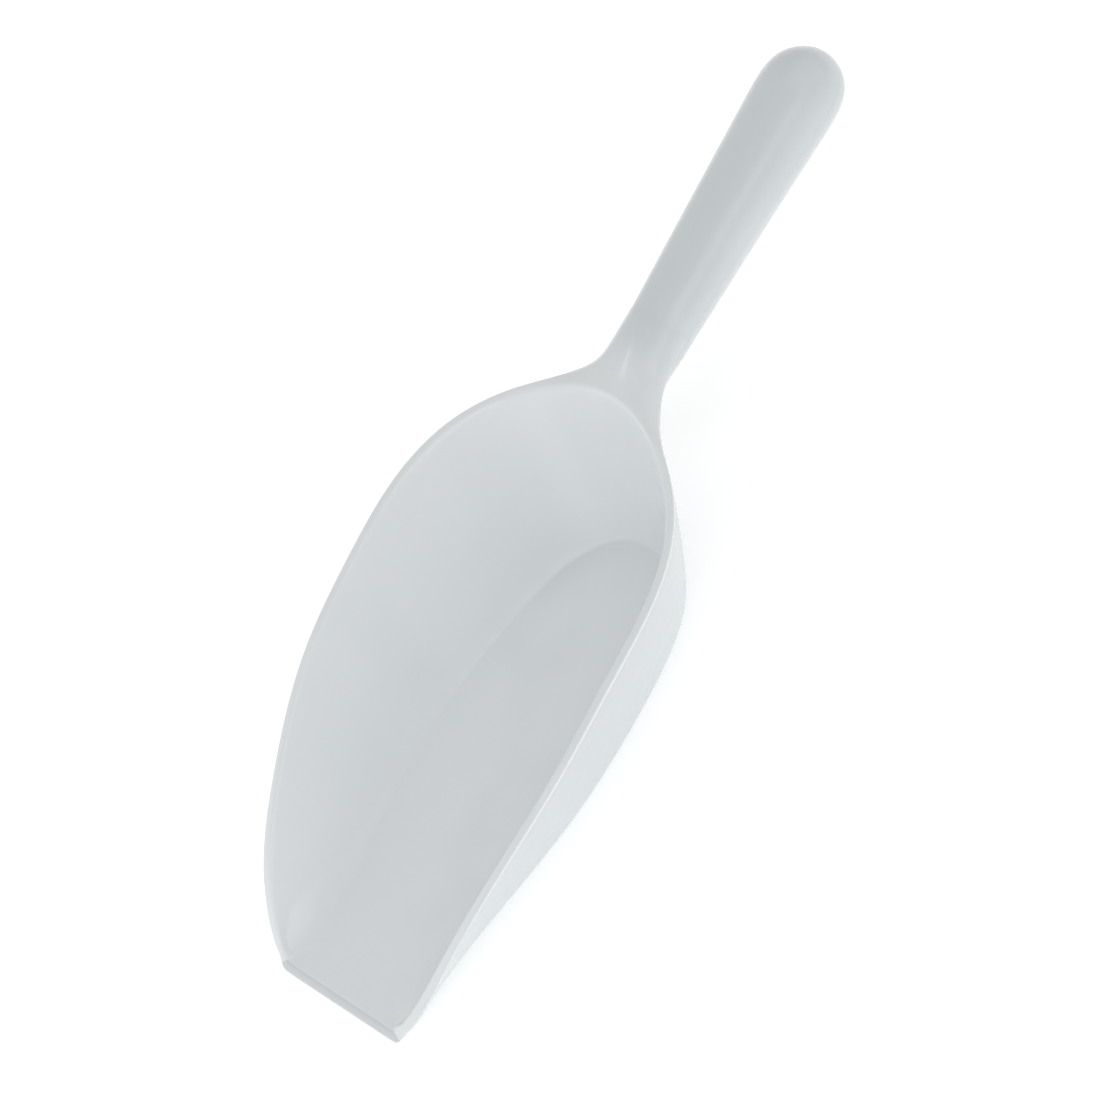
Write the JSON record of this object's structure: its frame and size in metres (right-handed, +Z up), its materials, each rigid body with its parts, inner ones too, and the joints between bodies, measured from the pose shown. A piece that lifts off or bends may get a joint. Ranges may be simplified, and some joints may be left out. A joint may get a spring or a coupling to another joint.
{
  "type": "ice scoop",
  "caption": "Hand scoop of glossy white plastic: open-fronted bowl with a flat base and leaning walls, and a closed hollow handle that rises to a domed end.",
  "frame": {"origin": "centre of the flat base that the scoop stands on, halfway between the lip and the base's rear end", "axes": "+X forward to the lip, +Y to the scoop's left side, +Z up out of the bowl"},
  "size_m": [0.3056, 0.1168, 0.0727],
  "materials": {
    "bowl_plastic": "glossy milky white, slightly translucent",
    "handle_plastic": "glossy milky white, slightly translucent"
  },
  "bodies": {
    "root": {"bowl": "bowl_plastic", "handle_upper_shell": "handle_plastic", "handle_lower_shell": "handle_plastic"}
  },
  "joints": []
}
